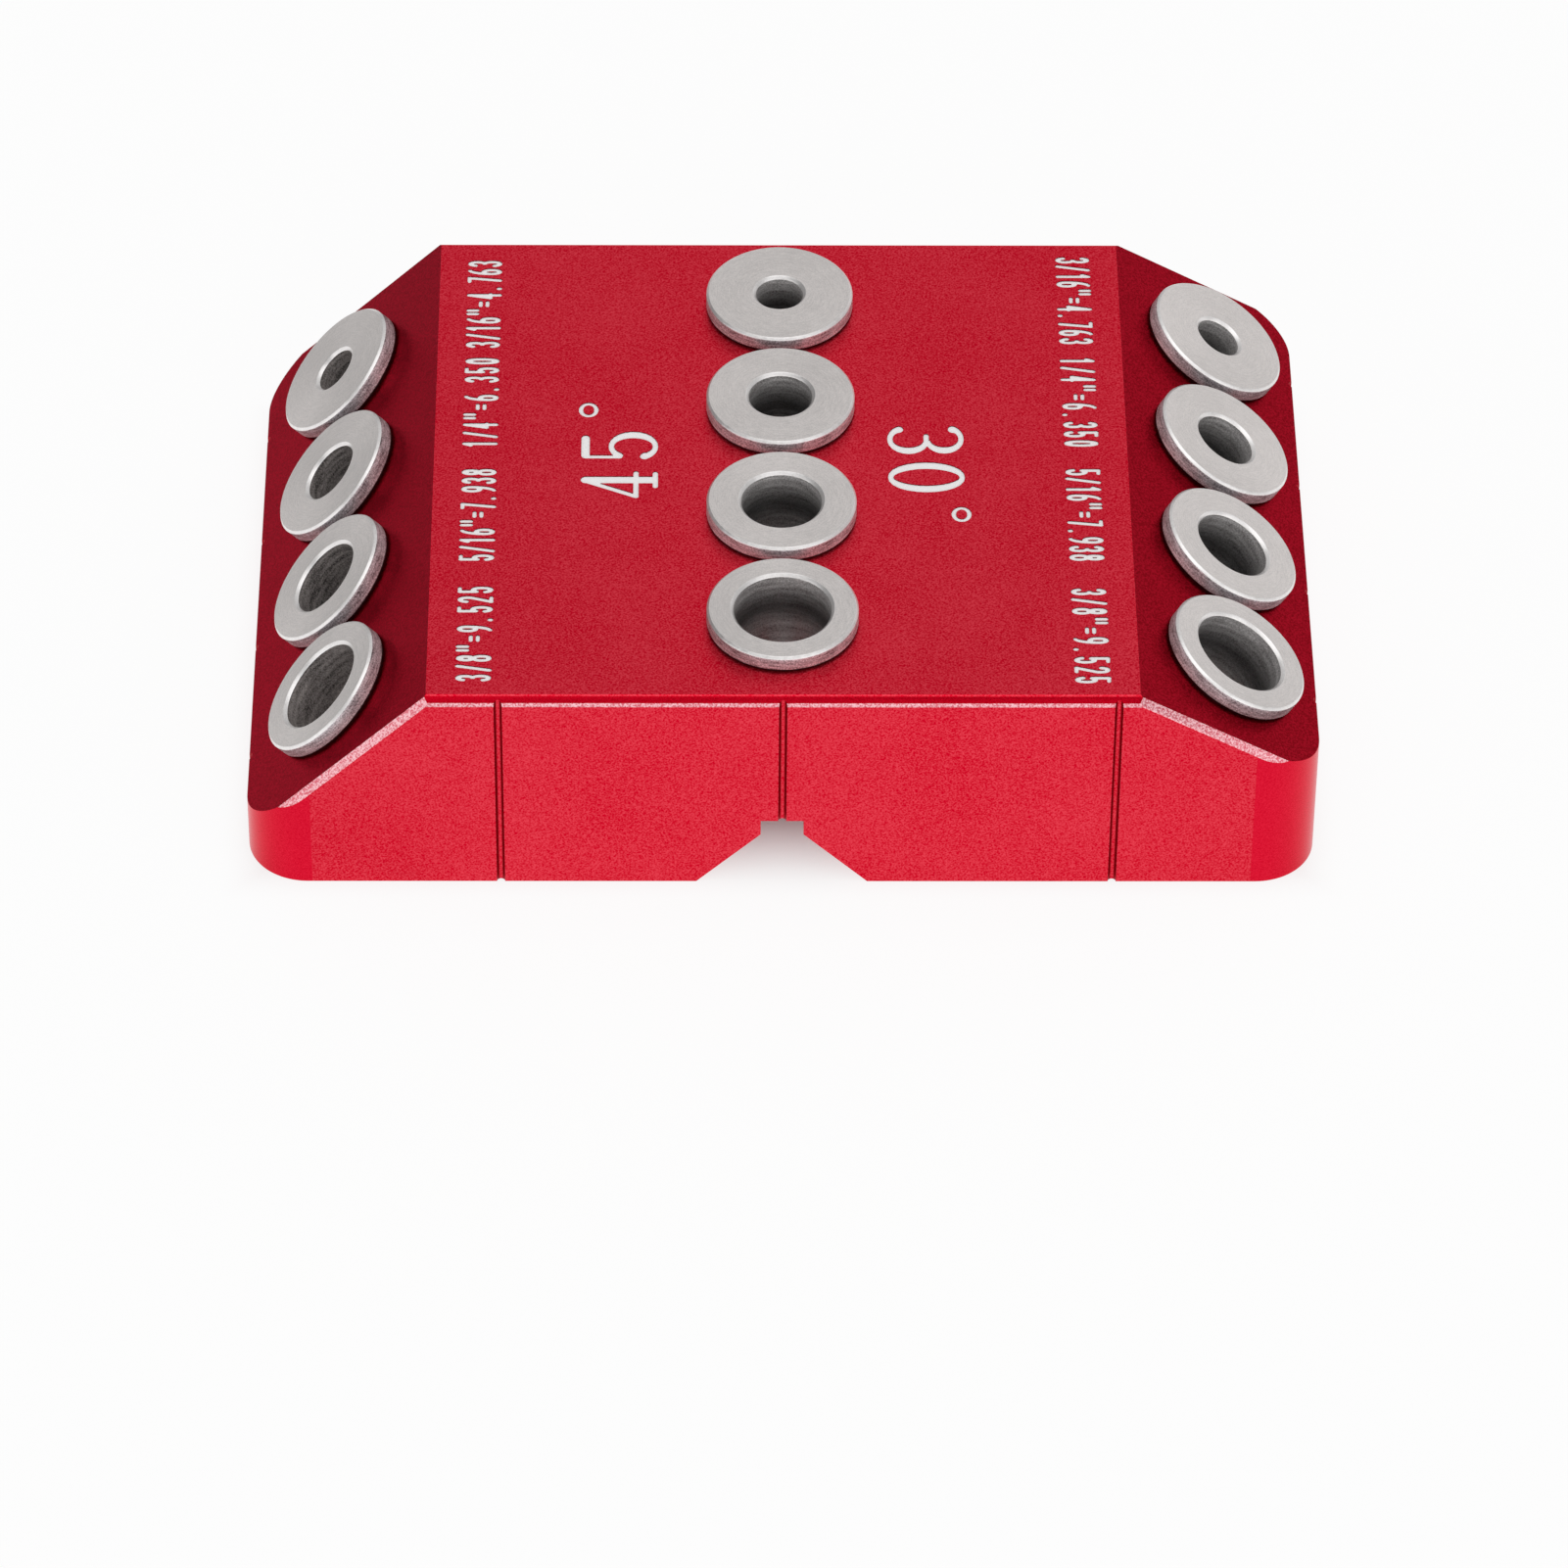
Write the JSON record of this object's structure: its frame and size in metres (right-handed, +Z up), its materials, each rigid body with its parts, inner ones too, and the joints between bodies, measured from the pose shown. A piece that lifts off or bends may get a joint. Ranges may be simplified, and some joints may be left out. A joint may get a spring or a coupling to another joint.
{
  "type": "drill guide",
  "caption": "Low block with a flat top, one 45 degree and one 30 degree slope, flanged steel guide bushings pressed square into each face, and a V-groove underneath.",
  "frame": {"origin": "middle of the underside", "axes": "+X across the width to the 30 degree slope, -Y to the front face, where the largest bores are, +Z up out of the flat top"},
  "size_m": [0.105, 0.07, 0.0258],
  "materials": {
    "block_red_anodised": "fine satin red anodising",
    "bushing_steel": "hardened steel, ground flange faces and turned rims"
  },
  "bodies": {
    "root": {"guide_block": "block_red_anodised", "bushing_straight_3_8in": "bushing_steel", "bushing_straight_5_16in": "bushing_steel", "bushing_straight_1_4in": "bushing_steel", "bushing_straight_3_16in": "bushing_steel", "bushing_45deg_3_8in": "bushing_steel", "bushing_45deg_5_16in": "bushing_steel", "bushing_45deg_1_4in": "bushing_steel", "bushing_45deg_3_16in": "bushing_steel", "bushing_30deg_3_8in": "bushing_steel", "bushing_30deg_5_16in": "bushing_steel", "bushing_30deg_1_4in": "bushing_steel", "bushing_30deg_3_16in": "bushing_steel"}
  },
  "joints": []
}
